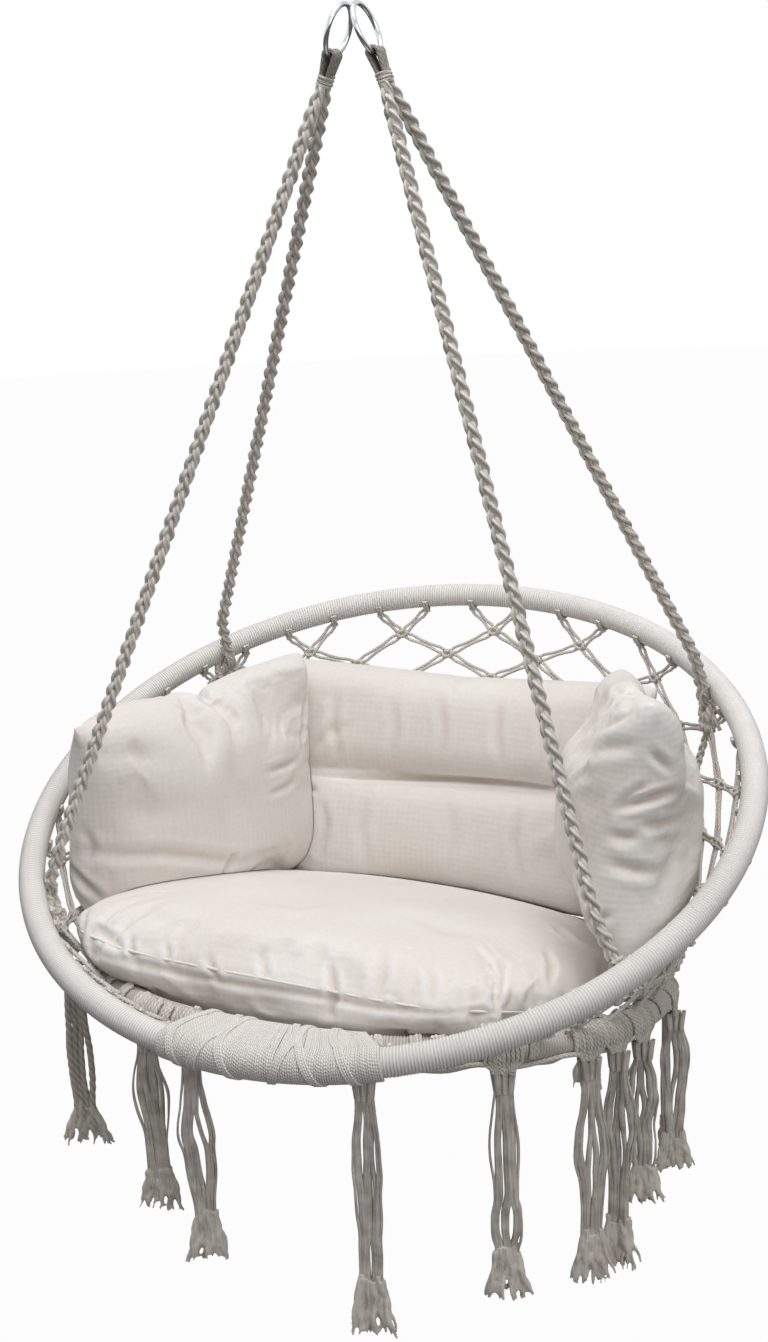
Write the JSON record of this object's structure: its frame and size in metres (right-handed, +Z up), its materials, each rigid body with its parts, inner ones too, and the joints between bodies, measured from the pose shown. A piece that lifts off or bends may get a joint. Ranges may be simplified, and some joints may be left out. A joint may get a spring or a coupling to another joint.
{
  "type": "hammock chair",
  "caption": "Hanging hammock chair: a corded hoop seat with a knotted cord net, hung by ropes from steel rings, with fringe tassels and loose seat, back and side cushions.",
  "frame": {"origin": "where both steel rings bear on the hook or pin that holds the chair up", "axes": "+Z up, +Y to the back of the chair, +X to the right as seen from in front; metres"},
  "size_m": [0.8, 0.7614, 1.2684],
  "materials": {
    "steel": "bright plated steel ring",
    "tube": "coated steel tube under the winding",
    "winding": "fine off-white cotton cord wound close",
    "rope": "braided cotton rope, natural grey beige",
    "net": "knotted cotton cord, natural",
    "fringe": "loose cotton cord with frayed ends",
    "cushion": "ecru cotton canvas over soft filling"
  },
  "bodies": {
    "rings": {"ring_left": "steel", "ring_right": "steel"},
    "chair": {"upper_hoop_tube": "tube", "upper_hoop_winding": "winding", "seat_hoop_tube": "tube", "seat_hoop_winding": "winding", "rope_eye_left": "rope", "rope_binding_left": "rope", "rope_eye_right": "rope", "rope_binding_right": "rope", "rope_front_left": "rope", "hitch_front_left": "net", "rope_back_left": "rope", "hitch_back_left": "net", "rope_front_right": "rope", "hitch_front_right": "net", "rope_back_right": "rope", "hitch_back_right": "net", "front_lashing": "winding", "rope_tail_front_left": "rope", "side_net": "net", "seat_net": "net", "seat_cushion": "cushion", "side_cushion_left": "cushion", "side_cushion_right": "cushion", "back_cushion": "cushion"},
    "tassel_01": {"tassel_01": "fringe"},
    "tassel_02": {"tassel_02": "fringe"},
    "tassel_03": {"tassel_03": "fringe"},
    "tassel_04": {"tassel_04": "fringe"},
    "tassel_05": {"tassel_05": "fringe"},
    "tassel_06": {"tassel_06": "fringe"},
    "tassel_07": {"tassel_07": "fringe"},
    "tassel_08": {"tassel_08": "fringe"},
    "tassel_09": {"tassel_09": "fringe"},
    "tassel_10": {"tassel_10": "fringe"},
    "tassel_11": {"tassel_11": "fringe"},
    "tassel_12": {"tassel_12": "fringe"},
    "tassel_13": {"tassel_13": "fringe"},
    "tassel_14": {"tassel_14": "fringe"},
    "tassel_15": {"tassel_15": "fringe"}
  },
  "joints": [
    {"name": "chair_swing", "type": "hinge", "parent": "rings", "child": "chair", "pos_m": [0, 0, -0.02033], "axis": [1, 0, 0], "range_deg": [-15, 15]},
    {"name": "tassel_01_swing", "type": "hinge", "parent": "chair", "child": "tassel_01", "pos_m": [-0.29623, -0.18228, -0.94702], "axis": [1, 0, 0], "range_deg": [-15, 15]},
    {"name": "tassel_02_swing", "type": "hinge", "parent": "chair", "child": "tassel_02", "pos_m": [-0.12783, -0.30882, -0.93616], "axis": [1, 0, 0], "range_deg": [-15, 15]},
    {"name": "tassel_03_swing", "type": "hinge", "parent": "chair", "child": "tassel_03", "pos_m": [-0.06784, -0.32729, -0.93459], "axis": [1, 0, 0], "range_deg": [-15, 15]},
    {"name": "tassel_04_swing", "type": "hinge", "parent": "chair", "child": "tassel_04", "pos_m": [0.10461, -0.31693, -0.94076], "axis": [1, 0, 0], "range_deg": [-15, 15]},
    {"name": "tassel_05_swing", "type": "hinge", "parent": "chair", "child": "tassel_05", "pos_m": [0.2164, -0.25106, -0.9483], "axis": [1, 0, 0], "range_deg": [-15, 15]},
    {"name": "tassel_06_swing", "type": "hinge", "parent": "chair", "child": "tassel_06", "pos_m": [0.27605, -0.17461, -0.96383], "axis": [1, 0, 0], "range_deg": [-15, 15]},
    {"name": "tassel_07_swing", "type": "hinge", "parent": "chair", "child": "tassel_07", "pos_m": [0.29314, -0.13807, -0.97127], "axis": [1, 0, 0], "range_deg": [-15, 15]},
    {"name": "tassel_08_swing", "type": "hinge", "parent": "chair", "child": "tassel_08", "pos_m": [0.30646, -0.09446, -0.98041], "axis": [1, 0, 0], "range_deg": [-15, 15]},
    {"name": "tassel_09_swing", "type": "hinge", "parent": "chair", "child": "tassel_09", "pos_m": [0.31149, 0.01481, -1.00339], "axis": [1, 0, 0], "range_deg": [-15, 15]},
    {"name": "tassel_10_swing", "type": "hinge", "parent": "chair", "child": "tassel_10", "pos_m": [0.27875, 0.11393, -1.0241], "axis": [1, 0, 0], "range_deg": [-15, 15]},
    {"name": "tassel_11_swing", "type": "hinge", "parent": "chair", "child": "tassel_11", "pos_m": [0.14754, 0.24341, -1.05091], "axis": [1, 0, 0], "range_deg": [-15, 15]},
    {"name": "tassel_12_swing", "type": "hinge", "parent": "chair", "child": "tassel_12", "pos_m": [-0.00549, 0.27942, -1.05827], "axis": [1, 0, 0], "range_deg": [-15, 15]},
    {"name": "tassel_13_swing", "type": "hinge", "parent": "chair", "child": "tassel_13", "pos_m": [-0.15737, 0.23861, -1.04989], "axis": [1, 0, 0], "range_deg": [-15, 15]},
    {"name": "tassel_14_swing", "type": "hinge", "parent": "chair", "child": "tassel_14", "pos_m": [-0.27249, 0.12588, -1.02638], "axis": [1, 0, 0], "range_deg": [-15, 15]},
    {"name": "tassel_15_swing", "type": "hinge", "parent": "chair", "child": "tassel_15", "pos_m": [-0.31432, -0.02264, -0.99556], "axis": [1, 0, 0], "range_deg": [-15, 15]}
  ],
  "couplings": [
    {"joint": "tassel_01_swing", "follows": "chair_swing", "ratio": -1},
    {"joint": "tassel_02_swing", "follows": "chair_swing", "ratio": -1},
    {"joint": "tassel_03_swing", "follows": "chair_swing", "ratio": -1},
    {"joint": "tassel_04_swing", "follows": "chair_swing", "ratio": -1},
    {"joint": "tassel_05_swing", "follows": "chair_swing", "ratio": -1},
    {"joint": "tassel_06_swing", "follows": "chair_swing", "ratio": -1},
    {"joint": "tassel_07_swing", "follows": "chair_swing", "ratio": -1},
    {"joint": "tassel_08_swing", "follows": "chair_swing", "ratio": -1},
    {"joint": "tassel_09_swing", "follows": "chair_swing", "ratio": -1},
    {"joint": "tassel_10_swing", "follows": "chair_swing", "ratio": -1},
    {"joint": "tassel_11_swing", "follows": "chair_swing", "ratio": -1},
    {"joint": "tassel_12_swing", "follows": "chair_swing", "ratio": -1},
    {"joint": "tassel_13_swing", "follows": "chair_swing", "ratio": -1},
    {"joint": "tassel_14_swing", "follows": "chair_swing", "ratio": -1},
    {"joint": "tassel_15_swing", "follows": "chair_swing", "ratio": -1}
  ]
}
